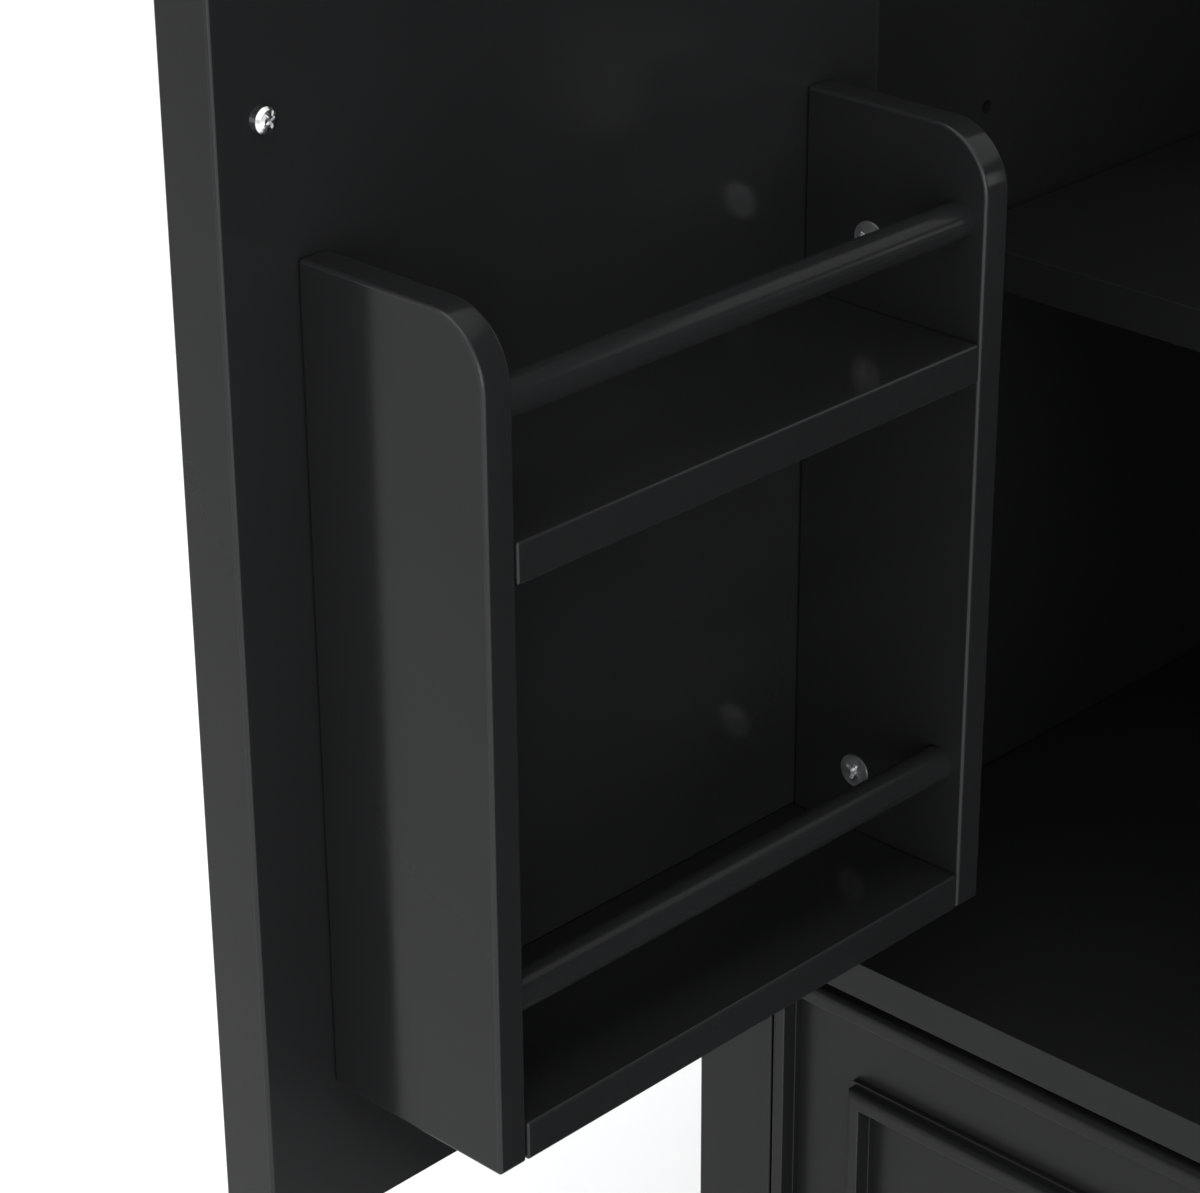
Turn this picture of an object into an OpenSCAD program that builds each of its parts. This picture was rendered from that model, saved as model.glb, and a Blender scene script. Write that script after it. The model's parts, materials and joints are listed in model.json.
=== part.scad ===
// Kitchen island cart: framed cabinet on casters with two inset doors, a storage rack
// on the inside of each door, an adjustable shelf, a wide drawer and a worktop.
// Millimetres, +Z up. The origin is on the ground, below the middle of the cart's box
// with the left door standing open. Inside the modules, x = 0 is the inner face of the
// left side panel, y = 0 the front of the frame and z = 0 the top of the cabinet floor.

/* [Cabinet] */
// Clear width between the two side panels
inner_w = 623; // [560:1:700]
// Depth of the cabinet from frame front to frame back
cabinet_d = 400; // [380:1:460]
// Thickness of the cabinet boards
board = 15; // [15:1:16]
// Width of the four upright stiles
stile_w = 36.9; // [36.5:0.1:36.9]
// How far the stiles stand proud of the side panels
stile_proud = 1.5; // [1:0.1:2]
// Clear height of the door opening
opening_h = 490; // [470:1:540]
// Height of the rail above the doors
top_rail_h = 40; // [34:1:60]
// Clear height of the drawer opening
drawer_opening_h = 176; // [160:1:200]
// How far the stiles and sides reach below the bottom panel
skirt_h = 19; // [10:1:19]

/* [Worktop] */
// Thickness of the worktop
worktop_t = 25; // [18:1:40]
// Overhang of the worktop past each side and the back
worktop_over = 15; // [0:1:40]
// Overhang of the worktop past the front
worktop_front = 25; // [15:1:40]

/* [Doors] */
// Width of each door
door_w = 286.5; // [286:0.5:286.5]
// Gap between a door's hinge edge and the stile
hinge_gap = 3.1; // [3.1:0.1:3.5]
// Gap above and below a door
door_gap = 3.2; // [2.5:0.1:4]
// Thickness of a door or drawer front away from its mouldings
front_t = 15; // [15:1:16]
// Distance that a front's mouldings stand proud of the frame
front_proud = 2.5; // [2:0.1:3]

/* [Mouldings] */
// Height of the raised mouldings
bead_h = 7.9; // [6:0.1:8]
// Width of the flat top of a moulding
bead_w = 6.6; // [5:0.1:7]
// Height of the small step at the foot of a moulding
bead_step_h = 2.6; // [1.5:0.1:3]
// Width of the small step at the foot of a moulding
bead_step_w = 1.2; // [0.8:0.1:2]
// Distance from a front's edge to its inner moulding
bead_inset = 37; // [32:0.1:45]

/* [Door racks] */
// Width of a rack across the door
rack_w = 232; // [200:1:236]
// Depth of a rack from the door's inner face
rack_d = 75.5; // [60:0.5:78]
// Height of a rack
rack_h = 278.5; // [240:0.5:320]
// Thickness of a rack's side boards
rack_side_t = 12; // [12:1:14]
// Thickness of a rack's shelves
rack_shelf_t = 14; // [12:1:16]
// Radius of the rounded upper front corner of a rack side
rack_corner_r = 22; // [10:1:30]
// Height of a rack's lower edge above the cabinet floor
rack_z = 55; // [45:1:70]
// Diameter of the round rails
rack_rail_d = 12.4; // [10:0.2:14]

/* [Shelf] */
// Height of the adjustable shelf's upper face above the cabinet floor
shelf_z = 238; // [178:60:298]
// Distance from the frame's front to the shelf's front edge
shelf_front = 110; // [105:1:150]
// Diameter of the shelf pins
shelf_pin_d = 5; // [5:1:6]

/* [Drawer] */
// Height of the drawer box
drawer_box_h = 120; // [90:1:130]
// Length of the drawer slides
slide_len = 340; // [300:1:340]

/* [Casters] */
// Diameter of the caster wheels
wheel_d = 75; // [65:1:75]
// Height of a caster from ground to plate top
caster_h = 100; // [98:1:110]
// Offset of the wheel's axle from its swivel axis
caster_trail = 28; // [24:1:30]

/* [Hidden] */
$fn = 48;

paint = "#26282a";
zinc = "#c3c6c8";
steel = "#8f9397";
plastic = "#1b1c1e";
rubber = "#2b2b2c";

mid_x = inner_w / 2;
stile_in = stile_w - board - stile_proud;
door_x0 = stile_in + hinge_gap;
door_h = opening_h - 2 * door_gap;
door_t = front_t + bead_h;
door_face_y = -front_proud;
rail_top_z = opening_h + top_rail_h;
bottom_z = -board - drawer_opening_h;
skirt_z = bottom_z - board - skirt_h;
caster_top_z = bottom_z - board;
ground_z = caster_top_z - caster_h;

// Place of the door's pivot in the cabinet and within the door
pivot_u = 10.4;
pivot_v = 12;
pivot_x = door_x0 + pivot_u;
pivot_y = door_face_y + pivot_v;
pin_r = 3;
pin_hole_r = 3.05;
bush_r = 5;
relief_r = 16.2;
bush_len = 15;
pivot_plate_t = 1.5;

// Rack position across the door, measured from the hinge edge
rack_u = 26.9;
rack_screw_n = 28;
rack_cam_z = [36.6, 232.6];
rack_rail_n = 64.1;
rack_rail_z = [53.2, 248];
rack_mid_z = 195.1;
cam_r = 6;
cam_depth = 9;
bolt_r = 2.6;

// Knob and its screw
knob_u = 268.4;
knob_z = 376.6;
knob_len = 17;
knob_r = 9;
screw_r = 2;

// Drawer
drawer_gap = 2.9;
drawer_side_gap = 1.7;
drawer_w = inner_w - 2 * stile_in - 2 * drawer_side_gap;
drawer_h = drawer_opening_h - 2 * drawer_gap;
drawer_x0 = stile_in + drawer_side_gap;
drawer_z0 = bottom_z + drawer_gap;
drawer_back_y = door_face_y + door_t;
slide_t = 12.7;
slide_y0 = 23;
slide_z = bottom_z + 76;
box_x0 = stile_in + slide_t;
box_x1 = inner_w - box_x0;
box_t = 12;
box_z0 = bottom_z + 14;
box_y1 = slide_y0 + slide_len;

// Worktop and the whole cart's box, which gives the origin
worktop_x0 = -board - worktop_over;
worktop_y1 = cabinet_d + worktop_over;
door_reach_y = pivot_y - (door_w - pivot_u);
origin_x = mid_x;
origin_y = (door_reach_y + worktop_y1) / 2;

// Casters: x and y of each swivel axis
caster_x = [66, inner_w - 66];
caster_y = [72, cabinet_d - 82];
caster_at = [for (y = caster_y, x = caster_x) [x, y]];
wheel_r = wheel_d / 2;
wheel_w = 22;
axle_r = 4;
fork_gap = 26;
fork_t = 2.5;
pedal_y = 34;
pedal_z = 23.5;

// Carry cabinet coordinates into the part's frame
module in_cabinet() {
    translate([-origin_x, -origin_y, -ground_z]) children();
}

// A box between two corners
module bar(low, high) {
    translate(low) cube(high - low);
}

// A mirror image about the cabinet's middle plane
module twin() {
    translate([inner_w, 0, 0]) mirror([1, 0, 0]) children();
}

// Both the shape and its mirror image
module pair() {
    children();
    twin() children();
}

// ---- Frame ----

module worktop() {
    color(paint) in_cabinet() difference() {
        bar([worktop_x0, -worktop_front, rail_top_z],
            [inner_w - worktop_x0, worktop_y1, rail_top_z + worktop_t]);
        pair() for (y = bracket_y)
            translate([13, y, rail_top_z - 1]) cylinder(r = 1.95, h = 15.5);
    }
}

// Holes for the shelf pins on one side panel
pin_rows_y = [134.6, 330];
pin_rows_z = [100, 160, 220, 280, 340];
pin_depth = 9;

module side_panel() {
    difference() {
        bar([-board, board, skirt_z], [0, cabinet_d - board, rail_top_z]);
        for (y = pin_rows_y, z = pin_rows_z)
            translate([-pin_depth, y, z])
                rotate([0, 90, 0]) cylinder(r = shelf_pin_d / 2 + 0.05, h = pin_depth + 1);
        for (p = frame_screw_at)
            translate([-board - 1, p[0], p[1]])
                rotate([0, 90, 0]) cylinder(r = 2.55, h = board + 2);
        for (p = frame_screw_at)
            translate([-board - 1, p[0], p[1]])
                rotate([0, 90, 0]) cylinder(r = 4.6, h = 4.6);
        for (y = bracket_y)
            translate([-10.5, y, rail_top_z - bracket_hole])
                rotate([0, 90, 0]) cylinder(r = 1.95, h = 11);
    }
}

module side_panel_left() {
    color(paint) in_cabinet() side_panel();
}

module side_panel_right() {
    color(paint) in_cabinet() twin() side_panel();
}

// The front stiles are hollowed behind their front arris, where the door's edge swings
module front_stiles() {
    color(paint) in_cabinet() pair() difference() {
        bar([-board - stile_proud, 0, skirt_z], [stile_in, board, rail_top_z]);
        translate([pivot_x, pivot_y, 0]) cylinder(r = relief_r, h = opening_h);
    }
}

module rear_stiles() {
    color(paint) in_cabinet() pair()
        bar([-board - stile_proud, cabinet_d - board, skirt_z],
            [stile_in, cabinet_d, rail_top_z]);
}

// A horizontal board of the frame, notched round the front stiles
module frame_board(z0, z1) {
    difference() {
        bar([0, 0, z0], [inner_w, cabinet_d - board, z1]);
        pair() bar([-1, -1, z0 - 1], [stile_in, board, z1 + 1]);
        pair()
            for (p = frame_screw_at)
                translate([-1, p[0], p[1]])
                    rotate([0, 90, 0]) cylinder(r = 2.05, h = frame_screw_len - board + 2);
    }
}

module cabinet_floor() {
    color(paint) in_cabinet() difference() {
        frame_board(-board, 0);
        pair() translate([pivot_x, pivot_y, -7]) cylinder(r = pin_hole_r, h = 8);
        pair() for (x = plate_screw_x)
            translate([x, pivot_y, -9]) cylinder(r = 1.55, h = 10);
    }
}

module bottom_panel() {
    color(paint) in_cabinet() difference() {
        frame_board(bottom_z - board, bottom_z);
        for (c = caster_at, dx = [-1, 1], dy = [-1, 1])
            translate([c[0] + dx * plate_pitch / 2, c[1] + dy * plate_pitch / 2, bottom_z - board - 1])
                cylinder(r = 2.05, h = 12);
    }
}

// Front rail with its horizontal stretcher in one piece of board behind it
stretcher_d = 80;

module top_rail_front() {
    color(paint) in_cabinet() difference() {
        union() {
            bar([stile_in, 0, opening_h], [inner_w - stile_in, board, rail_top_z]);
            bar([0, board + 0.1, opening_h], [inner_w, board + stretcher_d, opening_h + board]);
        }
        pair() translate([pivot_x, pivot_y, opening_h - 1]) cylinder(r = pin_hole_r, h = 8);
        pair() for (x = plate_screw_x)
            translate([x, pivot_y, opening_h - 1]) cylinder(r = 1.55, h = 10);
        pair() for (p = frame_screw_at)
            translate([-1, p[0], p[1]])
                rotate([0, 90, 0]) cylinder(r = 2.05, h = frame_screw_len - board + 2);
    }
}

module top_rail_rear() {
    color(paint) in_cabinet() difference() {
        bar([0, cabinet_d - board - stretcher_d, opening_h],
            [inner_w, cabinet_d - board, opening_h + board]);
        pair() for (p = frame_screw_at)
            translate([-1, p[0], p[1]])
                rotate([0, 90, 0]) cylinder(r = 2.05, h = frame_screw_len - board + 2);
    }
}

// The back panel fills the frame between the rear stiles
back_t = 9;

module back_panel() {
    color(paint) in_cabinet()
        bar([stile_in, cabinet_d - board, skirt_z],
            [inner_w - stile_in, cabinet_d - board + back_t, rail_top_z]);
}

// Screws through the side panels: y and z of each
frame_screw_len = 50;
frame_screw_at = [
    [70, -board / 2], [330, -board / 2],
    [70, bottom_z - board / 2], [330, bottom_z - board / 2],
    [45, opening_h + board / 2], [350, opening_h + board / 2]
];

module frame_screws() {
    color(zinc) in_cabinet() pair()
        for (p = frame_screw_at) translate([-board + 1.2, p[0], p[1]]) rotate([0, 90, 0]) {
            cylinder(r = 4.5, h = 2.3);
            cylinder(r = 2, h = frame_screw_len - 1.2);
        }
}

module screw_caps() {
    color(plastic) in_cabinet() pair()
        for (p = frame_screw_at) translate([-board - 0.6, p[0], p[1]]) rotate([0, 90, 0])
            rotate_extrude() polygon([[0, 0], [5.4, 0], [6.5, 0.6], [4.5, 0.6], [4.5, 1.6], [0, 1.6]]);
}

// Angle brackets that hold the worktop to the side panels
bracket_y = [110, 290];
bracket_w = 20;
bracket_leg = 22;
bracket_t = 2;
bracket_hole = 14;

module top_brackets() {
    color(zinc) in_cabinet() pair() for (y = bracket_y) difference() {
        union() {
            bar([0, y - bracket_w / 2, rail_top_z - bracket_leg],
                [bracket_t, y + bracket_w / 2, rail_top_z]);
            bar([0, y - bracket_w / 2, rail_top_z - bracket_t],
                [bracket_leg, y + bracket_w / 2, rail_top_z]);
        }
        translate([-1, y, rail_top_z - bracket_hole]) rotate([0, 90, 0]) cylinder(r = 2.2, h = 4);
        translate([13, y, rail_top_z - 3]) cylinder(r = 2.2, h = 4);
    }
}

// A pan head screw lying along +Z with its head's underside at z = 0
module pan_screw(head_r, head_h, shank_r, shank_len) {
    difference() {
        union() {
            rotate_extrude()
                polygon([[0, 0], [head_r, 0], [head_r, head_h * 0.45], [head_r * 0.8, head_h * 0.85],
                         [head_r * 0.45, head_h], [0, head_h]]);
            translate([0, 0, -shank_len]) cylinder(r = shank_r, h = shank_len + 0.1);
        }
        for (a = [0, 90]) rotate([0, 0, a + 30])
            translate([-head_r * 0.55, -head_r * 0.11, head_h * 0.4])
                cube([head_r * 1.1, head_r * 0.22, head_h]);
    }
}

plate_pitch = 44;

// Small screws of the brackets, pivot plates, slides and caster plates
module fixing_screws() {
    color(zinc) in_cabinet() {
        pair() for (y = bracket_y) {
            translate([bracket_t, y, rail_top_z - bracket_hole])
                rotate([0, 90, 0]) pan_screw(3.8, 2.2, 1.9, 12);
            translate([13, y, rail_top_z - bracket_t])
                rotate([180, 0, 0]) pan_screw(3.8, 2.2, 1.9, 16);
        }
        pair() for (x = plate_screw_x) {
            translate([x, pivot_y, pivot_plate_t]) pan_screw(2.6, 0.9, 1.5, 9);
            translate([x, pivot_y, opening_h - pivot_plate_t])
                rotate([180, 0, 0]) pan_screw(2.6, 0.9, 1.5, 9);
        }
        for (c = caster_at, dx = [-1, 1], dy = [-1, 1])
            translate([c[0] + dx * plate_pitch / 2, c[1] + dy * plate_pitch / 2, caster_top_z - 3])
                rotate([180, 0, 0]) pan_screw(4, 2.4, 2, 13);
        pair() for (y = slide_screw_y)
            translate([stile_in + 1.2, y, slide_z]) rotate([0, 90, 0]) pan_screw(3, 1.1, 1.6, 12);
    }
}

// ---- Shelf ----

shelf_t = 15.5;
shelf_gap = 1.5;

module shelf() {
    color(paint) in_cabinet()
        bar([shelf_gap, shelf_front, shelf_z - shelf_t],
            [inner_w - shelf_gap, cabinet_d - board - 4, shelf_z]);
}

// Steel pins in the side panels, on whose flats the shelf rests
module shelf_pins() {
    color(zinc) in_cabinet() pair() for (y = pin_rows_y)
        translate([-pin_depth + 0.5, y, shelf_z - shelf_t - shelf_pin_d / 2]) rotate([0, 90, 0]) {
            cylinder(r = shelf_pin_d / 2, h = pin_depth + 6.5);
            translate([0, 0, pin_depth - 0.5]) cylinder(r = shelf_pin_d / 2, h = 1);
        }
}

// ---- Fronts ----

// A raised rectangle of moulding on a front, in x across, y forwards, z up
module moulding(x0, x1, z0, z1, width, depth0, depth1) {
    difference() {
        bar([x0, depth0, z0], [x1, depth1, z1]);
        bar([x0 + width, depth0 - 1, z0 + width], [x1 - width, depth1 + 1, z1 - width]);
    }
}

// A front board with a moulded rim and an inner moulded rectangle. Its outer face is
// at y = 0 and its lower corner at the origin.
module moulded_front(w, h) {
    step_y = bead_h - bead_step_h;
    bar([0, bead_h, 0], [w, bead_h + front_t, h]);
    moulding(0, w, 0, h, bead_w + bead_step_w, step_y, bead_h);
    moulding(0, w, 0, h, bead_w, 0, step_y);
    moulding(bead_inset - bead_step_w, w - bead_inset + bead_step_w,
             bead_inset - bead_step_w, h - bead_inset + bead_step_w,
             bead_w + 2 * bead_step_w, step_y, bead_h);
    moulding(bead_inset, w - bead_inset, bead_inset, h - bead_inset, bead_w, 0, step_y);
}

// Turn a closed left door, drawn with its hinge edge at u = 0, its outer face at v = 0
// and its lower edge at z = 0, by the angle that it stands open
module hung(open_angle) {
    translate([pivot_x, pivot_y, door_gap]) rotate([0, 0, -open_angle])
        translate([-pivot_u, -pivot_v, 0]) children();
}

left_open = 90;
right_open = 0;

// The left door stands open, and the right door is closed
module on_left_door() {
    in_cabinet() hung(left_open) children();
}

module on_right_door() {
    in_cabinet() twin() hung(right_open) children();
}

module door() {
    difference() {
        moulded_front(door_w, door_h);
        for (z = [-1, door_h - bush_len])
            translate([pivot_u, pivot_v, z]) cylinder(r = bush_r + 0.05, h = bush_len + 1);
        translate([knob_u, bead_h - 1, knob_z - door_gap])
            rotate([-90, 0, 0]) cylinder(r = screw_r + 0.15, h = front_t + 2);
        translate([0, door_t - 11, 0]) for (u = rack_bolt_u, z = rack_cam_z)
            translate([u, 0, rack_z - door_gap + z])
                rotate([-90, 0, 0]) cylinder(r = bolt_r + 0.05, h = 12);
        translate([strike_u, door_t - 10, strike_z]) rotate([-90, 0, 0]) cylinder(r = 1.6, h = 11);
    }
}

module door_left() {
    color(paint) on_left_door() door();
}

module door_right() {
    color(paint) on_right_door() door();
}

// A turned knob with its foot at z = 0 and its axis along +Z
module knob() {
    difference() {
        rotate_extrude() {
            square([5.5, 1.5]);
            square([3.8, knob_len - 2]);
            polygon([[0, 6], [3.8, 6.5], [7.4, 9], [knob_r - 0.4, 11.2], [knob_r, 13], [knob_r - 0.8, 15],
                     [6.2, 16.5], [2.5, knob_len], [0, knob_len]]);
        }
        translate([0, 0, -1]) cylinder(r = screw_r + 0.05, h = 11);
    }
}

module door_knob() {
    translate([knob_u, bead_h, knob_z - door_gap]) rotate([90, 0, 0]) knob();
}

module door_left_knob() {
    color(zinc) on_left_door() door_knob();
}

module door_right_knob() {
    color(zinc) on_right_door() door_knob();
}

module door_knob_screw() {
    translate([knob_u, door_t, knob_z - door_gap]) rotate([-90, 0, 0])
        pan_screw(4, 2.8, screw_r, front_t + 9);
}

module door_left_knob_screw() {
    color(zinc) on_left_door() door_knob_screw();
}

// The right door's knob screw and strike plate
module door_right_fittings() {
    color(zinc) on_right_door() {
        door_knob_screw();
        door_strike();
    }
}

// Bearing bushes in the door's lower and upper edges
module door_bushes() {
    for (z = [0, door_h - bush_len + 0.2]) translate([pivot_u, pivot_v, z]) difference() {
        cylinder(r = bush_r, h = bush_len - 0.2);
        translate([0, 0, -1]) cylinder(r = pin_hole_r, h = bush_len + 2);
    }
}

module door_left_bushes() {
    color(plastic) on_left_door() door_bushes();
}

module door_right_bushes() {
    color(plastic) on_right_door() door_bushes();
}

// Steel plate on the door for the magnetic catch, with its screw
strike_u = 270;
strike_z = 474;

module door_strike() {
    translate([strike_u, door_t, strike_z]) rotate([-90, 0, 0]) {
        difference() {
            translate([-10, -6, 0]) cube([20, 12, 1.2]);
            translate([0, 0, -1]) cylinder(r = 1.6, h = 3);
        }
        translate([0, 0, 1.25]) pan_screw(2.8, 1.2, 1.5, 10);
    }
}

module door_left_strike() {
    color(zinc) on_left_door() door_strike();
}

// ---- Door racks, drawn in the door's own u, v and z ----

rack_u1 = rack_u + rack_w;
rack_bolt_u = [rack_u + rack_side_t / 2, rack_u1 - rack_side_t / 2];
rack_dowel_n = [16, 56];
dowel_r = 3;
socket_depth = 6;

// Carry rack coordinates (u across the door, n out of it, z up) onto the door
module on_rack() {
    translate([0, door_t, rack_z - door_gap]) children();
}

// Outline of a rack side, n out of the door and z up
module rack_side_outline() {
    square([rack_d, rack_h - rack_corner_r]);
    square([rack_d - rack_corner_r, rack_h]);
    translate([rack_d - rack_corner_r, rack_h - rack_corner_r]) circle(r = rack_corner_r);
}

// Side board whose inner face is at u = inner and whose body lies on the side given
// by out, which is -1 towards the hinge and 1 towards the free edge
module rack_side(inner, out) {
    outer = inner + out * rack_side_t;
    mid = inner + out * rack_side_t / 2;
    difference() {
        translate([min(inner, outer), 0, 0]) rotate([90, 0, 90])
            linear_extrude(rack_side_t) rack_side_outline();
        for (z = rack_rail_z) translate([inner, rack_rail_n, z])
            rotate([0, out * 90, 0])
                translate([0, 0, -1]) cylinder(d = rack_rail_d + 0.1, h = socket_depth + 1);
        for (z = rack_cam_z) {
            translate([inner, rack_screw_n, z]) rotate([0, out * 90, 0])
                translate([0, 0, -1]) cylinder(r = cam_r + 0.05, h = cam_depth + 1.2);
            translate([mid, -1, z]) rotate([-90, 0, 0]) cylinder(r = bolt_r + 0.05, h = rack_screw_n);
        }
        for (z = [rack_shelf_t / 2, rack_mid_z + rack_shelf_t / 2], n = rack_dowel_n)
            translate([inner, n, z]) rotate([0, out * 90, 0])
                translate([0, 0, -1]) cylinder(r = dowel_r + 0.05, h = 9);
    }
}

module rack_far_side() {
    on_rack() rack_side(rack_u + rack_side_t, -1);
}

module rack_near_side() {
    on_rack() rack_side(rack_u1 - rack_side_t, 1);
}

module rack_shelf(z) {
    on_rack() difference() {
        bar([rack_u + rack_side_t, 0, z], [rack_u1 - rack_side_t, rack_d, z + rack_shelf_t]);
        for (n = rack_dowel_n, u = [rack_u + rack_side_t - 1, rack_u1 - rack_side_t - 12])
            translate([u, n, z + rack_shelf_t / 2])
                rotate([0, 90, 0]) cylinder(r = dowel_r + 0.05, h = 13);
    }
}

module rack_rails() {
    on_rack() for (z = rack_rail_z)
        translate([rack_u + rack_side_t - socket_depth + 0.3, rack_rail_n, z]) rotate([0, 90, 0])
            cylinder(d = rack_rail_d, h = rack_w - 2 * rack_side_t + 2 * socket_depth - 0.6);
}

// Cam locks with a cross recess, one at each bolt
module rack_cams() {
    on_rack() for (side = [[rack_u + rack_side_t, -1], [rack_u1 - rack_side_t, 1]], z = rack_cam_z)
        translate([side[0], rack_screw_n, z]) rotate([0, side[1] * 90, 0]) difference() {
            cylinder(r = cam_r, h = cam_depth);
            for (a = [20, 110]) rotate([0, 0, a]) translate([-3.6, -0.7, -1]) cube([7.2, 1.4, 3.2]);
            translate([0, 0, -1]) cylinder(r = 1.6, h = 3);
        }
}

module rack_cam_bolts() {
    on_rack() for (u = rack_bolt_u, z = rack_cam_z)
        translate([u, -10.8, z]) rotate([-90, 0, 0])
            cylinder(r = bolt_r, h = 10.8 + rack_screw_n - cam_r - 0.3);
}

module rack_dowels() {
    on_rack() for (u = [rack_u + rack_side_t - 7.8, rack_u1 - rack_side_t - 11.8],
                   z = [rack_shelf_t / 2, rack_mid_z + rack_shelf_t / 2], n = rack_dowel_n)
        translate([u, n, z]) rotate([0, 90, 0]) cylinder(r = dowel_r, h = 19.6);
}

module rack_left_near_side() {
    color(paint) on_left_door() rack_near_side();
}

module rack_left_far_side() {
    color(paint) on_left_door() rack_far_side();
}

module rack_left_upper_shelf() {
    color(paint) on_left_door() rack_shelf(rack_mid_z);
}

module rack_left_lower_shelf() {
    color(paint) on_left_door() rack_shelf(0);
}

module rack_left_rails() {
    color(paint) on_left_door() rack_rails();
}

module rack_left_cams() {
    color(zinc) on_left_door() rack_cams();
}

module rack_left_cam_bolts() {
    color(zinc) on_left_door() rack_cam_bolts();
}

module rack_left_dowels() {
    color("burlywood") on_left_door() rack_dowels();
}

module rack_right_sides() {
    color(paint) on_right_door() {
        rack_near_side();
        rack_far_side();
    }
}

module rack_right_shelves() {
    color(paint) on_right_door() {
        rack_shelf(rack_mid_z);
        rack_shelf(0);
    }
}

module rack_right_rails() {
    color(paint) on_right_door() rack_rails();
}

module rack_right_cams() {
    color(zinc) on_right_door() rack_cams();
}

module rack_right_fixings() {
    color(zinc) on_right_door() {
        rack_cam_bolts();
        rack_dowels();
    }
}

// ---- Door pivots and catches ----

plate_x0 = stile_in + 3;
plate_x1 = 60;
plate_screw_x = [44.5, 54];

module pivot_plate(z0) {
    difference() {
        bar([plate_x0, 2, z0], [plate_x1, 14.6, z0 + pivot_plate_t]);
        translate([pivot_x, pivot_y, z0 - 1]) cylinder(r = pin_hole_r, h = pivot_plate_t + 2);
        for (x = plate_screw_x)
            translate([x, pivot_y, z0 - 1]) cylinder(r = 1.6, h = pivot_plate_t + 2);
    }
}

module pivot_plates() {
    color(zinc) in_cabinet() pair() {
        pivot_plate(0);
        pivot_plate(opening_h - pivot_plate_t);
    }
}

// Pins fixed in the floor and the rail, on which the door's bushes turn
module pivot_pins() {
    color(steel) in_cabinet() pair() {
        translate([pivot_x, pivot_y, -6.8]) cylinder(r = pin_r, h = 6.8 + door_gap + 13);
        translate([pivot_x, pivot_y, opening_h - door_gap - 13])
            cylinder(r = pin_r, h = 6.8 + door_gap + 13);
    }
}

// Magnetic catches under the front stretcher
module magnet_catches() {
    color(plastic) in_cabinet() pair() {
        strike_x = door_x0 + strike_u;
        bar([strike_x - 11, drawer_back_y + 2.9, opening_h - 20],
            [strike_x + 11, drawer_back_y + 17, opening_h]);
    }
}

// ---- Drawer ----

drawer_knob_x = [mid_x - 150, mid_x + 150];
drawer_knob_z = drawer_z0 + drawer_h / 2;
front_screw_z = [box_z0 + 30, box_z0 + 95];

module drawer_front() {
    color(paint) in_cabinet() difference() {
        translate([drawer_x0, door_face_y, drawer_z0]) moulded_front(drawer_w, drawer_h);
        for (x = drawer_knob_x) translate([x, door_face_y - 1, drawer_knob_z])
            rotate([-90, 0, 0]) cylinder(r = screw_r + 0.15, h = door_t + 2);
        pair() for (z = front_screw_z) translate([90, drawer_back_y - 10, z])
            rotate([-90, 0, 0]) cylinder(r = 1.95, h = 11);
    }
}

// Box of sides, sub-front and back, each a board of its own
bottom_t = 4;
groove_z = box_z0 + 8;
seam = 0.05;
box_in0 = box_x0 + box_t + seam;
box_in1 = box_x1 - box_t - seam;

module drawer_box() {
    color(paint) in_cabinet() {
        pair() difference() {
            bar([box_x0, drawer_back_y, box_z0], [box_x0 + box_t, box_y1, box_z0 + drawer_box_h]);
            bar([box_x0 + box_t - 5, drawer_back_y - 1, groove_z],
                [box_x0 + box_t + 1, box_y1 + 1, groove_z + bottom_t + 0.2]);
        }
        difference() {
            bar([box_in0, drawer_back_y, box_z0], [box_in1, drawer_back_y + box_t, box_z0 + drawer_box_h]);
            bar([box_x0, drawer_back_y + box_t - 5, groove_z],
                [box_x1, drawer_back_y + box_t + 1, groove_z + bottom_t + 0.2]);
            pair() for (z = front_screw_z) translate([90, drawer_back_y - 1, z])
                rotate([-90, 0, 0]) cylinder(r = 2.05, h = box_t + 2);
            for (x = drawer_knob_x) translate([x, drawer_back_y - 1, drawer_knob_z])
                rotate([-90, 0, 0]) cylinder(r = 5, h = box_t + 2);
        }
        bar([box_in0, box_y1 - box_t, groove_z + bottom_t + 0.2],
            [box_in1, box_y1, box_z0 + drawer_box_h]);
    }
}

module drawer_bottom() {
    color(plastic) in_cabinet()
        bar([box_x0 + box_t - 4.7, drawer_back_y + box_t - 4.7, groove_z + 0.1],
            [box_x1 - box_t + 4.7, box_y1 - 0.5, groove_z + bottom_t + 0.1]);
}

module drawer_knobs() {
    color(zinc) in_cabinet() for (x = drawer_knob_x)
        translate([x, door_face_y + bead_h, drawer_knob_z]) rotate([90, 0, 0]) knob();
}

module drawer_screws() {
    color(zinc) in_cabinet() {
        for (x = drawer_knob_x) translate([x, drawer_back_y, drawer_knob_z])
            rotate([-90, 0, 0]) pan_screw(4, 2.8, screw_r, front_t + 9);
        pair() for (z = front_screw_z) translate([90, drawer_back_y + box_t, z])
            rotate([-90, 0, 0]) pan_screw(3.8, 2.2, 1.9, 21);
    }
}

// ---- Drawer slides: three nested channels each side, open towards each other ----

// A channel with its web at x = x0 and its flanges reaching to x1
module channel(x0, x1, half_h, y0, y1, t) {
    web0 = min(x0, x0 + sign(x1 - x0) * t);
    bar([web0, y0, slide_z - half_h], [web0 + t, y1, slide_z + half_h]);
    for (s = [-1, 1]) {
        edge = slide_z + s * half_h;
        inside = edge - s * t;
        bar([min(x0, x1), y0, min(edge, inside)], [max(x0, x1), y1, max(edge, inside)]);
    }
}

slide_t_steel = 1.2;
slide_screw_y = [70, 200, 320];

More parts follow.
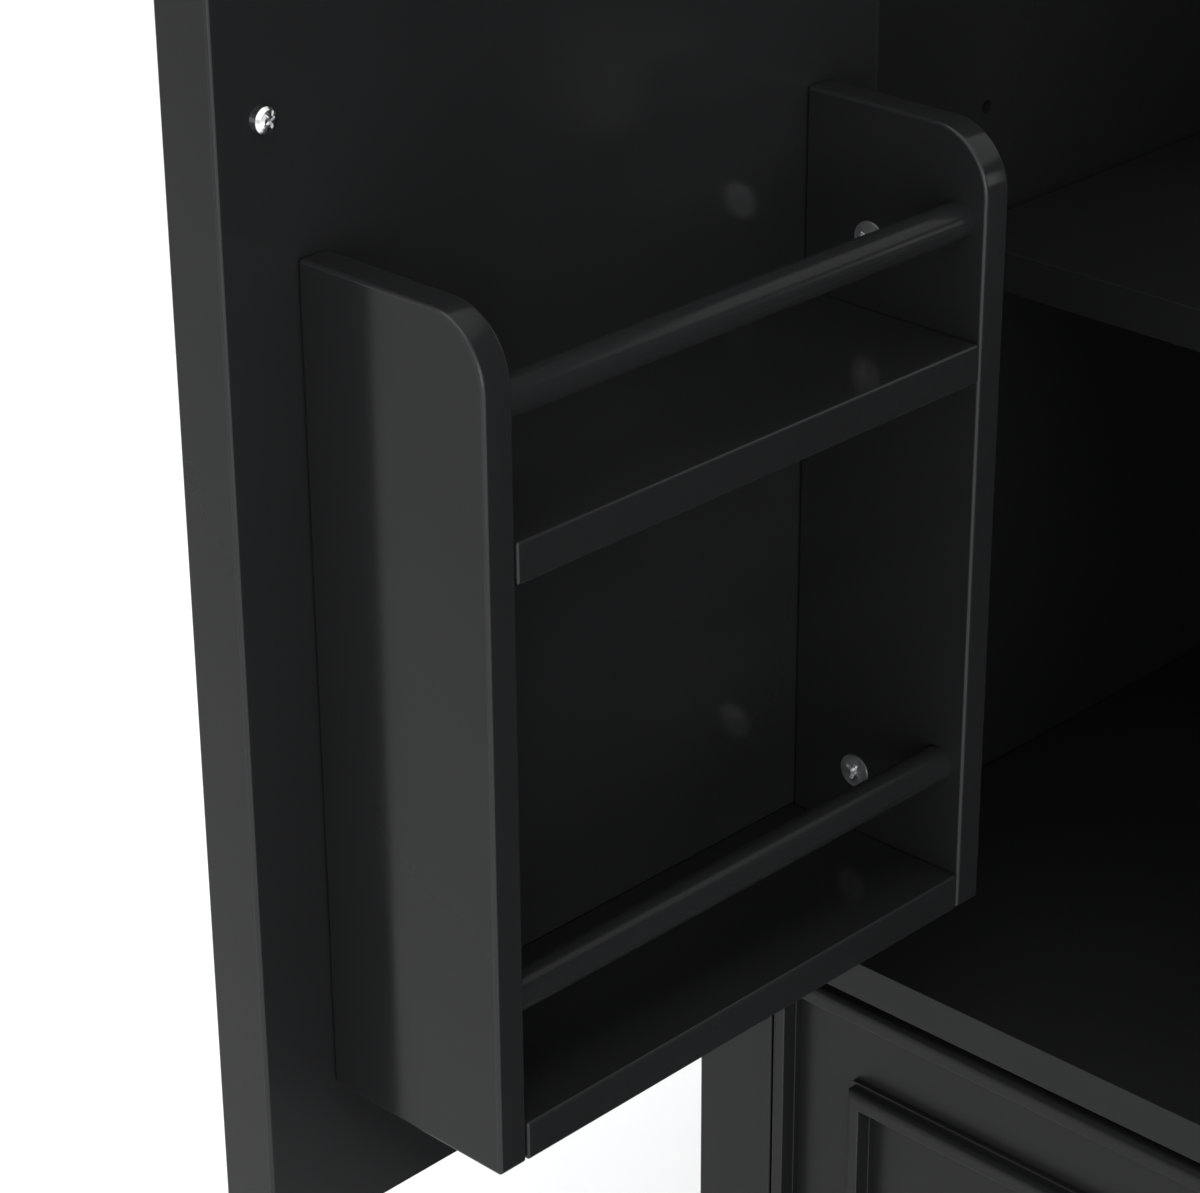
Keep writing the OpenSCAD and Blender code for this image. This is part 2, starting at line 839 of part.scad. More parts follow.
// The outer channels are fixed to hardwood packers on the side panels
module slide_outers() {
    color(steel) in_cabinet() pair() {
        difference() {
            channel(stile_in, stile_in + 10, 22.5, slide_y0, slide_y0 + slide_len, slide_t_steel);
            for (y = slide_screw_y) translate([stile_in - 1, y, slide_z])
                rotate([0, 90, 0]) cylinder(r = 1.7, h = 4);
        }
        difference() {
            bar([0, slide_y0 + 10, slide_z - 24], [stile_in - 0.1, slide_y0 + slide_len, slide_z + 24]);
            for (y = slide_screw_y) translate([stile_in - 13, y, slide_z])
                rotate([0, 90, 0]) cylinder(r = 1.7, h = 14);
        }
    }
}

module slide_middles() {
    color(steel) in_cabinet() pair()
        channel(stile_in + 3, stile_in + 11, 20, slide_y0, slide_y0 + slide_len - 10, slide_t_steel);
}

module slide_inners() {
    color(steel) in_cabinet() pair()
        channel(stile_in + slide_t, stile_in + 6, 17, slide_y0, slide_y0 + slide_len, slide_t_steel);
}

// ---- Casters, each drawn about its own swivel axis ----

// Carry coordinates of caster i, z = 0 on the ground, to its place
module at_caster(i) {
    translate([caster_at[i][0], caster_at[i][1], ground_z]) children();
}

plate_half = 30;
plate_t = 3;
king_r = 5;
fork_top = caster_h - plate_t - 0.3;

module caster_plates() {
    color(steel) in_cabinet() for (i = [0:3]) at_caster(i) difference() {
        bar([-plate_half, -plate_half, caster_h - plate_t], [plate_half, plate_half, caster_h]);
        translate([0, 0, caster_h - plate_t - 1]) cylinder(r = king_r + 0.05, h = plate_t + 2);
        for (x = [-1, 1], y = [-1, 1])
            translate([x * plate_pitch / 2, y * plate_pitch / 2, caster_h - plate_t - 1])
                cylinder(r = 2.1, h = plate_t + 2);
    }
}

// Fork with its king pin and axle; only the braked forks have ears for the pedal
module caster_fork(i, braked) {
    color(steel) in_cabinet() at_caster(i) {
        difference() {
            union() {
                translate([0, 0, fork_top - 7]) cylinder(r = 22, h = 7);
                for (s = [-1, 1]) {
                    x0 = s > 0 ? fork_gap / 2 : -fork_gap / 2 - fork_t;
                    translate([x0, 0, 0]) rotate([90, 0, 90]) linear_extrude(fork_t)
                        fork_cheek(braked);
                }
            }
            translate([0, 0, fork_top - 8]) cylinder(r = king_r + 0.02, h = 10);
            translate([-20, caster_trail, wheel_r]) rotate([0, 90, 0]) cylinder(r = axle_r + 0.02, h = 40);
            if (braked)
                translate([-20, caster_trail + pedal_y, wheel_r + pedal_z]) rotate([0, 90, 0])
                    cylinder(r = 2.05, h = 40);
        }
        translate([0, 0, fork_top - 7.5]) cylinder(r = king_r, h = caster_h - fork_top + 7);
        translate([-fork_gap / 2 - fork_t - 2, caster_trail, wheel_r]) rotate([0, 90, 0])
            cylinder(r = axle_r, h = fork_gap + 2 * fork_t + 4);
    }
}

// Outline of a fork cheek, y along the trail and z up
module fork_cheek(braked) {
    polygon(concat(
        [[caster_trail - 9, wheel_r + 2], [-16, fork_top - 7], [-16, fork_top - 1], [16, fork_top - 1]],
        braked
            ? [[30, fork_top - 6], [caster_trail + pedal_y + 6, wheel_r + pedal_z + 5],
               [caster_trail + pedal_y + 6, wheel_r + pedal_z - 5], [caster_trail + 18, wheel_r + 12]]
            : [[30, fork_top - 20]],
        [[caster_trail + 9, wheel_r + 2]]));
    translate([caster_trail, wheel_r]) circle(r = 9);
}

module caster_fork_1() {
    caster_fork(0, true);
}

module caster_fork_2() {
    caster_fork(1, true);
}

module caster_fork_3() {
    caster_fork(2, false);
}

module caster_fork_4() {
    caster_fork(3, false);
}

// Tyre and hub, each a solid of its own
module caster_wheel(i) {
    in_cabinet() at_caster(i) translate([-wheel_w / 2, caster_trail, wheel_r]) rotate([0, 90, 0]) {
        color(rubber) rotate_extrude($fn = 72) difference() {
            union() {
                translate([wheel_r - 8, 1]) square([5, wheel_w - 2]);
                translate([wheel_r - 4, 3]) square([4, wheel_w - 6]);
                for (z = [3, wheel_w - 3]) translate([wheel_r - 3, z]) circle(r = 2, $fn = 24);
            }
        }
        color(plastic) rotate_extrude($fn = 72) {
            translate([axle_r + 0.06, 0]) square([6, wheel_w]);
            translate([axle_r + 1, 7]) square([wheel_r - 14, wheel_w - 14]);
            translate([wheel_r - 12, 2]) square([3.9, wheel_w - 4]);
        }
    }
}

module caster_wheel_1() {
    caster_wheel(0);
}

module caster_wheel_2() {
    caster_wheel(1);
}

module caster_wheel_3() {
    caster_wheel(2);
}

module caster_wheel_4() {
    caster_wheel(3);
}

// Toe lever of a braked caster, on a pin across the ears of its fork. It is drawn
// pressed down, with its boss against the tyre.
module brake_pedal(i) {
    pin_y = caster_trail + pedal_y;
    pin_z = wheel_r + pedal_z;
    boss_w = 22;
    color(plastic) in_cabinet() at_caster(i) {
        difference() {
            union() {
                translate([-boss_w / 2, pin_y, pin_z]) rotate([0, 90, 0]) cylinder(r = 3.45, h = boss_w);
                bar([-boss_w / 2, pin_y, pin_z], [boss_w / 2, pin_y + 10, pin_z + 3.4]);
                bar([-16, pin_y + 8, pin_z - 1], [16, pin_y + 30, pin_z + 3.4]);
            }
            translate([-20, pin_y, pin_z]) rotate([0, 90, 0]) cylinder(r = 2.05, h = 40);
        }
        translate([-fork_gap / 2 - fork_t - 0.5, pin_y, pin_z]) rotate([0, 90, 0])
            cylinder(r = 2, h = fork_gap + 2 * fork_t + 1);
    }
}

module brake_pedal_1() {
    brake_pedal(0);
}

module brake_pedal_2() {
    brake_pedal(1);
}

worktop();
side_panel_left();
side_panel_right();
front_stiles();
rear_stiles();
cabinet_floor();
bottom_panel();
top_rail_front();
top_rail_rear();
back_panel();
shelf();
shelf_pins();
frame_screws();
screw_caps();
top_brackets();
fixing_screws();
door_left();
door_left_knob();
door_left_knob_screw();
door_left_bushes();
door_left_strike();
rack_left_near_side();
rack_left_far_side();
rack_left_upper_shelf();
rack_left_lower_shelf();
rack_left_rails();
rack_left_cams();
rack_left_cam_bolts();
rack_left_dowels();
door_right();
door_right_knob();
door_right_fittings();
door_right_bushes();
rack_right_sides();
rack_right_shelves();
rack_right_rails();
rack_right_cams();
rack_right_fixings();
pivot_plates();
pivot_pins();
magnet_catches();
drawer_front();
drawer_box();
drawer_bottom();
drawer_knobs();
drawer_screws();
slide_outers();
slide_middles();
slide_inners();
caster_plates();
caster_fork_1();
caster_fork_2();
caster_fork_3();
caster_fork_4();
caster_wheel_1();
caster_wheel_2();
caster_wheel_3();
caster_wheel_4();
brake_pedal_1();
brake_pedal_2();
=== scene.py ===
import json
import math

import bmesh
import bpy
from mathutils import Matrix, Vector


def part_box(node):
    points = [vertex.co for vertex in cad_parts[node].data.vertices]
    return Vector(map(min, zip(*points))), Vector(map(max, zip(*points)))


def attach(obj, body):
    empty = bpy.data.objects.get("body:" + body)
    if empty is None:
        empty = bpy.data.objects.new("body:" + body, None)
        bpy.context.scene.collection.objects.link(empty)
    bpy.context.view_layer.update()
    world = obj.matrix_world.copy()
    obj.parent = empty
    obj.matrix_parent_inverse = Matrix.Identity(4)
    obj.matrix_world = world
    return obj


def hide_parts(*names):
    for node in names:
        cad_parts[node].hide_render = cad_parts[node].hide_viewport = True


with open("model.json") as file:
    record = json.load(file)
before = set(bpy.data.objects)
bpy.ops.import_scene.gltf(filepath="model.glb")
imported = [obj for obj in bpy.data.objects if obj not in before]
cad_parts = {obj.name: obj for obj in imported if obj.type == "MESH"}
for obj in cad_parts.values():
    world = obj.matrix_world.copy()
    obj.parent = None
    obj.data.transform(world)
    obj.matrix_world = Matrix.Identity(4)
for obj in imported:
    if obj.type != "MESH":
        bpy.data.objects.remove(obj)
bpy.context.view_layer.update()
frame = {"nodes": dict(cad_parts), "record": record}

MM = 0.001

# Gap at each end of a board, along each axis
JOINT_GAPS = (0.3 * MM,) * 3

# Edges shorter than this stay sharp, and so do edges with a flatter angle than the corner
SHORT_EDGE = 1.0 * MM
CORNER = math.radians(40)

# Points closer than this are welded, and faces within the angle are taken as one flat face
WELD = 2e-6
FLAT = math.radians(0.5)

# Lengths closer than this count as equal
CLOSE = 0.05 * MM

# Bevels: a round profile, with few segments on eased arrises and more on mouldings
ROUND = 0.5
EASED_SEGMENTS = 3
MOULDED_SEGMENTS = 6

# Material of a bevel's new faces: the arris paint, whose lighter colour is a painted highlight along the
# edges, or that of their neighbours
ARRIS_HIGHLIGHT = 1
SAME = -1

# Mouldings and arrises of the doors and the drawer front. The last is the width of their
# other eased arrises, in millimetres.
BEAD_INSET = 37 * MM
BEAD_ROUND = 3.0 * MM
DOOR_RIM_ROUND = 1.0 * MM
HINGE_ARRIS = 4.0 * MM
FREE_ARRIS = 1.2 * MM
FRONT_EASING = 0.4

# Radius of the caster wheels in millimetres, and the number of steps around a turned ring
WHEEL_R = 37.5
RING_STEPS = 96

# Colours of the lights: daylight outside the cabinet and neutral inside
DAYLIGHT = (0.95, 0.975, 1.0)
NEUTRAL = (1, 1, 1)

BODIES = frame["record"]["behaviour"]["bodies"]
BODY_OF = {node: body for body, nodes in BODIES.items() for node in nodes}
SLOT_OF = {row["node"]: row["material_slot"] for row in frame["record"]["subparts"]}

# Nodes that have a finish of their own within their slot
FINISH = {
    "drawer_front": "satin_paint", "rack_left_rails": "rail_paint", "rack_right_rails": "rail_paint",
    "rack_left_cams": "cast_zinc", "rack_right_cams": "cast_zinc",
}


# ---- Materials ----

def new_material(name):
    """An empty node material: (material, its node tree, its Principled shader, its object coordinates)."""
    material = bpy.data.materials.new(name)
    material.use_nodes = True
    tree = material.node_tree
    tree.nodes.clear()
    out = tree.nodes.new("ShaderNodeOutputMaterial")
    shader = tree.nodes.new("ShaderNodeBsdfPrincipled")
    tree.links.new(shader.outputs["BSDF"], out.inputs["Surface"])
    coords = tree.nodes.new("ShaderNodeTexCoord").outputs["Object"]
    return material, tree, shader, coords


def noise(tree, coords, scale, detail=2.0, stretch=(1, 1, 1), rough=0.5):
    """Noise of the given scale, in waves per metre, stretched along the axes."""
    mapping = tree.nodes.new("ShaderNodeMapping")
    mapping.inputs["Scale"].default_value = stretch
    tree.links.new(coords, mapping.inputs["Vector"])
    node = tree.nodes.new("ShaderNodeTexNoise")
    node.inputs["Scale"].default_value = scale
    node.inputs["Detail"].default_value = detail
    node.inputs["Roughness"].default_value = rough
    tree.links.new(mapping.outputs["Vector"], node.inputs["Vector"])
    return node.outputs["Fac"]


def ramp(tree, factor, low, high, start=0.3, end=0.7):
    """A colour ramp from one colour to another, driven by a factor."""
    node = tree.nodes.new("ShaderNodeValToRGB")
    node.color_ramp.elements[0].position = start
    node.color_ramp.elements[1].position = end
    node.color_ramp.elements[0].color = (*low, 1)
    node.color_ramp.elements[1].color = (*high, 1)
    tree.links.new(factor, node.inputs["Fac"])
    return node.outputs["Color"]


def span(tree, factor, low, high, start=0.3, end=0.7):
    """A number that runs from low to high with a factor."""
    node = tree.nodes.new("ShaderNodeMapRange")
    node.inputs["From Min"].default_value = start
    node.inputs["From Max"].default_value = end
    node.inputs["To Min"].default_value = low
    node.inputs["To Max"].default_value = high
    tree.links.new(factor, node.inputs["Value"])
    return node.outputs["Result"]


def bump(tree, shader, height, distance, strength=1.0, below=None):
    """Raise the surface by a height, in metres, on top of another bump."""
    node = tree.nodes.new("ShaderNodeBump")
    node.inputs["Distance"].default_value = distance
    node.inputs["Strength"].default_value = strength
    tree.links.new(height, node.inputs["Height"])
    if below is not None:
        tree.links.new(below, node.inputs["Normal"])
    tree.links.new(node.outputs["Normal"], shader.inputs["Normal"])
    return node.outputs["Normal"]


def paint(name="black_paint", gloss=0.14, specular=0.14, shade=1.0):
    """Sprayed semi-gloss black paint on smooth board: slight mottle and a fine orange peel."""
    low, high = [[shade * value for value in colour]
                 for colour in ((0.0087, 0.0088, 0.0091), (0.0101, 0.0102, 0.0106))]
    material, tree, shader, coords = new_material(name)
    mottle = noise(tree, coords, 9, 3)
    tree.links.new(ramp(tree, mottle, low, high), shader.inputs["Base Color"])
    smear = noise(tree, coords, 38, 4, (1, 1, 0.4))
    tree.links.new(span(tree, smear, gloss - 0.02, gloss + 0.03), shader.inputs["Roughness"])
    shader.inputs["Specular IOR Level"].default_value = specular
    bump(tree, shader, noise(tree, coords, 340, 2), 0.00002, 0.3)
    return material


def hardboard():
    """Matt black lining board with pressed fibres."""
    material, tree, shader, coords = new_material("board_panel")
    fibre = noise(tree, coords, 700, 5, (1, 0.35, 1))
    colour = ramp(tree, fibre, (0.018, 0.018, 0.019), (0.036, 0.035, 0.034))
    tree.links.new(colour, shader.inputs["Base Color"])
    tree.links.new(span(tree, fibre, 0.55, 0.75), shader.inputs["Roughness"])
    bump(tree, shader, fibre, 0.0001, 0.5)
    return material


def metal(name, low, high, rough, grain=(1, 1, 1), scale=260):
    """Plated metal with fine scratches along its grain."""
    material, tree, shader, coords = new_material(name)
    scratch = noise(tree, coords, scale, 6, grain, 0.6)
    tree.links.new(ramp(tree, scratch, low, high, 0.25, 0.75), shader.inputs["Base Color"])
    shader.inputs["Metallic"].default_value = 1.0
    tree.links.new(span(tree, scratch, rough * 0.75, rough * 1.3), shader.inputs["Roughness"])
    bump(tree, shader, scratch, 0.00002, 0.15)
    return material


def moulded(name, low, high, rough, grain_scale, depth):
    """Moulded plastic or rubber with a fine spark-eroded grain."""
    material, tree, shader, coords = new_material(name)
    grain = noise(tree, coords, grain_scale, 4)
    tree.links.new(ramp(tree, grain, low, high), shader.inputs["Base Color"])
    tree.links.new(span(tree, grain, rough - 0.06, rough + 0.08), shader.inputs["Roughness"])
    bump(tree, shader, grain, depth, 0.5)
    return material


def bare_wood():
    """Turned beech dowel: long grain and short dark flecks."""
    material, tree, shader, coords = new_material("bare_wood")
    grain = noise(tree, coords, 160, 6, (1, 0.08, 1))
    tree.links.new(ramp(tree, grain, (0.42, 0.26, 0.13), (0.68, 0.5, 0.3)), shader.inputs["Base Color"])
    tree.links.new(span(tree, grain, 0.5, 0.7), shader.inputs["Roughness"])
    bump(tree, shader, grain, 0.0001, 0.5)
    return material


MATERIALS = {
    "black_paint": paint(),
    "worktop_paint": paint("worktop_paint", gloss=0.34),
    # Arris paint: the board's black made a quarter lighter as a painted highlight along the eased edges, with
    # a little more gloss and specular
    "arris_highlight_paint": paint("arris_highlight_paint", gloss=0.22, specular=0.24, shade=1.25),
    "satin_paint": paint("satin_paint", gloss=0.3),
    "rail_paint": paint("rail_paint", gloss=0.22),
    "board_panel": hardboard(),
    "zinc_hardware": metal("zinc_hardware", (0.62, 0.62, 0.63), (0.86, 0.86, 0.87), 0.16),
    "cast_zinc": metal("cast_zinc", (0.55, 0.55, 0.56), (0.78, 0.78, 0.79), 0.4),
    "knob_metal": metal("knob_metal", (0.045, 0.045, 0.048), (0.065, 0.065, 0.068), 0.3),
    "bare_wood": bare_wood(),
    "plated_steel": metal("plated_steel", (0.46, 0.47, 0.49), (0.56, 0.57, 0.59), 0.28, (1, 0.2, 1)),
    "black_plastic": moulded("black_plastic", (0.012, 0.012, 0.013), (0.022, 0.022, 0.024),
                             0.42, 900, 0.00004),
    "caster_rubber": moulded("caster_rubber", (0.016, 0.016, 0.016), (0.03, 0.03, 0.03),
                             0.6, 1200, 0.00006),
}


# ---- Making pieces ----

def add_piece(name, mesh, body, slot, finish=None):
    """A new piece of the object, riding on a CAD body, in its slot's own finish or another."""
    piece = bpy.data.objects.new(name, mesh)
    bpy.context.scene.collection.objects.link(piece)
    mesh.materials.append(MATERIALS[finish or slot])
    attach(piece, body)
    return piece


def clean_copy(node):
    """A CAD node's mesh as a new bmesh with welded points and whole flat faces."""
    mesh = bmesh.new()
    mesh.from_mesh(frame["nodes"][node].data)
    bmesh.ops.remove_doubles(mesh, verts=mesh.verts, dist=WELD)
    bmesh.ops.dissolve_limit(mesh, angle_limit=FLAT, verts=mesh.verts, edges=mesh.edges)
    return mesh


def islands(mesh):
    """The separate solids of a bmesh, each as a list of its points."""
    left, found = set(mesh.verts), []
    while left:
        group, edge = [], [left.pop()]
        while edge:
            vert = edge.pop()
            group.append(vert)
            for link in vert.link_edges:
                other = link.other_vert(vert)
                if other in left:
                    left.remove(other)
                    edge.append(other)
        found.append(group)
    return found


def draw_in(mesh, gaps):
    """Draw the ends of every solid in by a gap in metres along each axis, so that joints show
    as fine dark lines."""
    for verts in islands(mesh):
        for axis, gap in enumerate(gaps):
            values = [vert.co[axis] for vert in verts]
            middle, half = (min(values) + max(values)) / 2, (max(values) - min(values)) / 2
            for vert in verts:
                vert.co[axis] = middle + (vert.co[axis] - middle) * (half - gap) / half


def round_over(mesh, edges, radius, material=SAME):
    """Round some edges of a bmesh with a radius in metres. The new faces get the material of
    an index, or that of their neighbours."""
    bmesh.ops.bevel(mesh, geom=edges, offset=radius, segments=MOULDED_SEGMENTS, profile=ROUND,
                    affect="EDGES", material=material)


def near(value, target):
    """Whether two lengths in metres agree within a few hundredths of a millimetre."""
    return abs(value - target) < CLOSE


def rectangle_edges(mesh, across, depth, inset):
    """The four edges of a moulding's outer arris, at an inset from a front's outline. The
    front's width runs along one axis, and its outer face is at the low end of the other."""
    face = min(vert.co[depth] for vert in mesh.verts)
    picked = []
    for axis in (across, 2):
        values = [vert.co[axis] for vert in mesh.verts]
        for line in (min(values) + inset, max(values) - inset):
            picked += [edge for edge in mesh.edges
                       if all(near(vert.co[depth], face) and near(vert.co[axis], line)
                              for vert in edge.verts)]
    return picked


def round_inner_arris(mesh, across, depth, end, radius):
    """Round an upright arris of a door's inner face. The end is max for the hinge edge and
    min for the free edge."""
    reach = {across: end(vert.co[across] for vert in mesh.verts),
             depth: max(vert.co[depth] for vert in mesh.verts)}
    arris = [edge for edge in mesh.edges
             if all(near(vert.co[axis], reach[axis]) for vert in edge.verts for axis in reach)]
    # On black paint the rounded arris later takes the arris paint, whose lighter colour is a painted
    # highlight
    round_over(mesh, arris, radius, material=ARRIS_HIGHLIGHT)


def stand_in(node, shape, width, shortest=SHORT_EDGE):
    """A piece with eased arrises of a width in millimetres, made from a bmesh, in place of its
    CAD node. The rims of small holes and the inner corners stay sharp. On black paint, the
    arrises get a lighter paint, a painted highlight along the edges."""
    painted = SLOT_OF[node] == "black_paint"
    arrises = [edge for edge in shape.edges
               if edge.is_convex and edge.calc_face_angle(0) > CORNER
               and edge.calc_length() > shortest]
    bmesh.ops.bevel(shape, geom=arrises, offset=width * MM, segments=EASED_SEGMENTS, profile=ROUND,
                    affect="EDGES", clamp_overlap=True, miter_outer="ARC",
                    material=ARRIS_HIGHLIGHT if painted else SAME)
    for edge in shape.edges:
        edge.smooth = edge.calc_face_angle(0) < CORNER
    for face in shape.faces:
        face.smooth = True
    mesh = bpy.data.meshes.new(node + "_eased")
    shape.to_mesh(mesh)
    shape.free()
    piece = add_piece(node + "_eased", mesh, BODY_OF[node], SLOT_OF[node], FINISH.get(node))
    # On black paint the arrises' faces take the lighter arris paint: a painted highlight along the edges
    if painted:
        mesh.materials.append(MATERIALS["arris_highlight_paint"])
    flat = piece.modifiers.new("flat faces", "WEIGHTED_NORMAL")
    flat.weight = 100
    flat.keep_sharp = True
    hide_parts(node)


# Width of the eased arrises of each board and fitting, in millimetres
EASED = {
    "worktop": 3.0, "side_panel_left": 0.8, "side_panel_right": 0.8, "front_stiles": 1.0, "rear_stiles": 1.0,
    "cabinet_floor": 0.3, "bottom_panel": 0.8, "top_rail_front": 0.8, "top_rail_rear": 0.8, "back_panel": 0.8,
    "shelf": 0.3, "drawer_box": 0.8, "rack_left_near_side": 1.2, "rack_left_far_side": 1.2,
    "rack_left_upper_shelf": 0.9, "rack_left_lower_shelf": 0.9, "rack_right_sides": 1.2,
    "rack_right_shelves": 0.9, "magnet_catches": 0.8, "brake_pedal_1": 0.8, "brake_pedal_2": 0.8,
    "caster_plates": 0.4, "caster_fork_1": 0.4, "caster_fork_2": 0.4, "caster_fork_3": 0.4,
    "caster_fork_4": 0.4, "pivot_plates": 0.3,
}

# Nodes that keep their ends, because other parts turn or slide on them
TIGHT = {
    "brake_pedal_1", "brake_pedal_2", "caster_fork_1", "caster_fork_2", "caster_fork_3", "caster_fork_4",
}

# Boards with wider gaps beside the side panels
LOOSE = {"shelf": (1.2 * MM, 0, 0), "cabinet_floor": (1.1 * MM, 0, 0)}

for node, width in EASED.items():
    shape = clean_copy(node)
    if node not in TIGHT:
        draw_in(shape, LOOSE.get(node, JOINT_GAPS))
    stand_in(node, shape, width)

for node in ("rack_left_cams", "rack_right_cams"):
    stand_in(node, clean_copy(node), 0.3, shortest=0.4 * MM)

# Each front with the axis that its width runs along, the axis of its depth, and the ends of
# its width at the hinge and at the free edge
FRONTS = {"door_left": (1, 0, max, min), "door_right": (0, 1, max, min), "drawer_front": (0, 1, None, None)}

for node, (across, depth, hinge, free) in FRONTS.items():
    shape = clean_copy(node)
    round_over(shape, rectangle_edges(shape, across, depth, BEAD_INSET), BEAD_ROUND)
    rim_round = BEAD_ROUND if node == "drawer_front" else DOOR_RIM_ROUND
    round_over(shape, rectangle_edges(shape, across, depth, 0), rim_round)
    if hinge:
        round_inner_arris(shape, across, depth, hinge, HINGE_ARRIS)
        round_inner_arris(shape, across, depth, free, FREE_ARRIS)
    stand_in(node, shape, FRONT_EASING)


# ---- Caster wheels ----

def ring(name, profile, centre, body, slot):
    """A ring turned about an axle along X: the profile is a closed line of (x, radius)."""
    mesh = bmesh.new()
    rows = []
    for i in range(RING_STEPS):
        angle = 2 * math.pi * i / RING_STEPS
        rows.append([mesh.verts.new((centre[0] + x * MM, centre[1] + r * MM * math.cos(angle),
                                     centre[2] + r * MM * math.sin(angle))) for x, r in profile])
    for i in range(RING_STEPS):
        here, there = rows[i], rows[(i + 1) % RING_STEPS]
        for k in range(len(profile)):
            m = (k + 1) % len(profile)
            mesh.faces.new((here[k], here[m], there[m], there[k])).smooth = True
    bmesh.ops.recalc_face_normals(mesh, faces=mesh.faces)
    data = bpy.data.meshes.new(name)
    mesh.to_mesh(data)
    mesh.free()
    piece = add_piece(name, data, body, slot)
    ease = piece.modifiers.new("ease", "BEVEL")
    ease.width = 0.5 * MM
    ease.segments = 2
    ease.limit_method = "ANGLE"
    ease.angle_limit = math.radians(35)
    piece.modifiers.new("flat faces", "WEIGHTED_NORMAL")
    return piece


def tyre_profile():
    """Half-round shoulders and two grooves in the tread."""
    shoulder = [(-10 + 3 * (1 - math.sin(a)), WHEEL_R - 3 * (1 - math.cos(a)))
                for a in [math.radians(90 - 15 * k) for k in range(7)]]
    grooves = []
    for x in (-3.2, 2.0):
        grooves += [(x, WHEEL_R), (x, WHEEL_R - 0.9), (x + 1.2, WHEEL_R - 0.9), (x + 1.2, WHEEL_R)]
    other = [(-x, r) for x, r in reversed(shoulder)]
    return [(-10, WHEEL_R - 8)] + shoulder + grooves + other + [(10, WHEEL_R - 8)]


def hub_profile():
    """Rim, web and boss of the hub."""
    rim, boss = WHEEL_R - 8.1, 10
    return [(-9, rim), (-9, rim - 3), (-4, rim - 4.5), (-4, boss), (-11, boss - 1), (-11, 4.1),
            (11, 4.1), (11, boss - 1), (4, boss), (4, rim - 4.5), (9, rim - 3), (9, rim)]


def spokes(name, centre, body):
    """Eight ribs on both sides of a hub's web."""
    mesh = bmesh.new()
    for k in range(8):
        turn = Matrix.Rotation(math.radians(45 * k), 4, "X")
        for side in (-1, 1):
            place = Matrix.Translation(Vector(centre)) @ turn @ Matrix.Translation(
                (side * 5.4 * MM, 16.8 * MM, 0))
            bmesh.ops.create_cube(mesh, size=1, matrix=place @ Matrix.Diagonal(
                (3.2 * MM, 16.4 * MM, 2.2 * MM, 1)))
    data = bpy.data.meshes.new(name)
    mesh.to_mesh(data)
    mesh.free()
    return add_piece(name, data, body, "black_plastic")


for i in range(1, 5):
    node = "caster_wheel_%d" % i
    low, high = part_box(node)
    centre = [(a + b) / 2 for a, b in zip(low, high)]
    tyre = ring(node + "_tyre", tyre_profile(), centre, BODY_OF[node], "caster_rubber")
    hub = ring(node + "_hub", hub_profile(), centre, BODY_OF[node], "black_plastic")
    ribs = spokes(node + "_ribs", centre, BODY_OF[node])
    for piece in (tyre, hub, ribs):
        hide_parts(node)

for node, thing in frame["nodes"].items():
    thing.data.materials.clear()
    thing.data.materials.append(MATERIALS[FINISH.get(node, SLOT_OF[node])])


# ---- Setting ----

def floor_and_backdrop():
    """A plain pale floor that curves up into a wall behind the cart."""
    half, back, height, radius, steps = 7.0, 4.0, 5.0, 1.5, 12
    outline = [(-half, 0.0), (back - radius, 0.0)]
    outline += [(back - radius + radius * math.sin(a), radius - radius * math.cos(a))
                for a in [math.radians(90 * i / steps) for i in range(1, steps + 1)]]
    outline += [(back, height)]
    mesh = bmesh.new()
    rows = [[mesh.verts.new((x, y, z)) for y, z in outline] for x in (-half, half)]
    for i in range(len(outline) - 1):
        mesh.faces.new((rows[0][i], rows[1][i], rows[1][i + 1], rows[0][i + 1])).smooth = True
    data = bpy.data.meshes.new("floor")
    mesh.to_mesh(data)
    mesh.free()
    floor = bpy.data.objects.new("floor", data)
    bpy.context.scene.collection.objects.link(floor)
    material, tree, shader, coords = new_material("pale_floor")
    cloud = noise(tree, coords, 2, 2)
    tree.links.new(ramp(tree, cloud, (0.93, 0.93, 0.93), (0.95, 0.95, 0.95)), shader.inputs["Base Color"])
    shader.inputs["Roughness"].default_value = 0.7
    data.materials.append(material)


def soft_light(name, place, target, size, power, colour=DAYLIGHT):
    """A soft area light at a place, aimed at a target."""
    lamp = bpy.data.lights.new(name, "AREA")
    lamp.shape = "RECTANGLE"
    lamp.size, lamp.size_y = size
    lamp.energy = power
    lamp.color = colour
    thing = bpy.data.objects.new(name, lamp)
    thing.location = place
    thing.rotation_euler = (Vector(target) - Vector(place)).to_track_quat("-Z", "Y").to_euler()
    bpy.context.scene.collection.objects.link(thing)
    return thing


